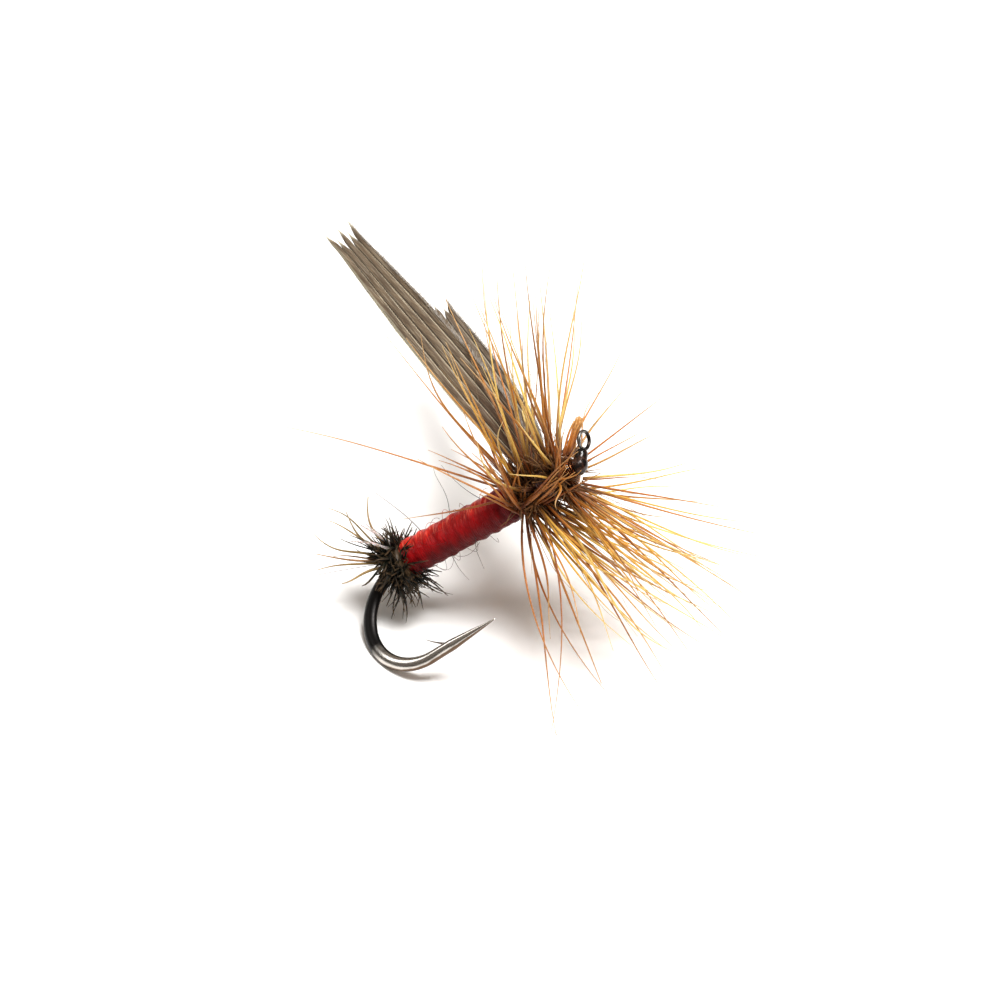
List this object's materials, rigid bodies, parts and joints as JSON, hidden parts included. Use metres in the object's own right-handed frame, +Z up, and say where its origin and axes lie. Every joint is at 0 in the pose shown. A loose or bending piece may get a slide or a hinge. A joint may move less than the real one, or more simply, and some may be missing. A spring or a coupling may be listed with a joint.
{
  "type": "dry fly",
  "caption": "Artificial dry fly on a black up-eyed hook with a red floss body, herl butt, two grey quill wings and a ginger hackle, lying on its side.",
  "frame": {"origin": "on the surface that the fly lies on, under the middle of its bounding box", "axes": "+Z up from that surface; +X across the surface to the side that the eye points to; +Y across the surface to the side that the wings lean to, away from the hook's gape"},
  "size_m": [0.0206, 0.0244, 0.0169],
  "materials": {
    "hook_steel": "black-finished wire, bright along the lower bend and the point",
    "thread_brown": "waxed thread",
    "floss_red": "wound silk floss with a soft sheen",
    "floss_dark": "dark turn of floss",
    "floss_pale": "loose pale filaments",
    "herl_green": "black-green barbules with a faint metallic gleam",
    "feather_tan": "tan feather fibres",
    "hair_black": "fine dark hair",
    "quill_grey": "grey-brown quill with pale ribs",
    "hackle_quill": "brown quill",
    "hackle_ginger": "glossy ginger barbs, golden at the tips",
    "head_brown": "dark thread head",
    "varnish_clear": "clear glossy varnish"
  },
  "bodies": {
    "root": {"butt_herl_flue_1": "herl_green", "butt_herl_flue_2": "herl_green", "butt_herl_flue_3": "herl_green", "butt_herl_stem": "herl_green", "floss_body": "floss_red", "floss_rear_turn": "floss_dark", "floss_underbody": "floss_red", "hackle_barbs_front_1": "hackle_ginger", "hackle_barbs_front_2": "hackle_ginger", "hackle_barbs_front_3": "hackle_ginger", "hackle_barbs_rear_1": "hackle_ginger", "hackle_barbs_rear_2": "hackle_ginger", "hackle_barbs_rear_3": "hackle_ginger", "hackle_barbs_rear_4": "hackle_ginger", "hackle_stem_front": "hackle_quill", "hackle_stem_rear": "hackle_quill", "hackle_stray_barbs": "hackle_ginger", "hackle_stub": "hackle_quill", "hackle_support_barbs": "hackle_ginger", "head_varnish": "varnish_clear", "head_wraps": "head_brown", "hook": "hook_steel", "hook_eye": "hook_steel", "neck_wraps": "head_brown", "stray_hairs": "hair_black", "tag_fluff": "floss_pale", "tail_fibres": "feather_tan", "thorax_thread": "thread_brown", "thread_base": "thread_brown", "wing_butts": "quill_grey", "wing_slip_left": "quill_grey", "wing_slip_right": "quill_grey", "wing_wraps": "thread_brown"}
  },
  "joints": []
}
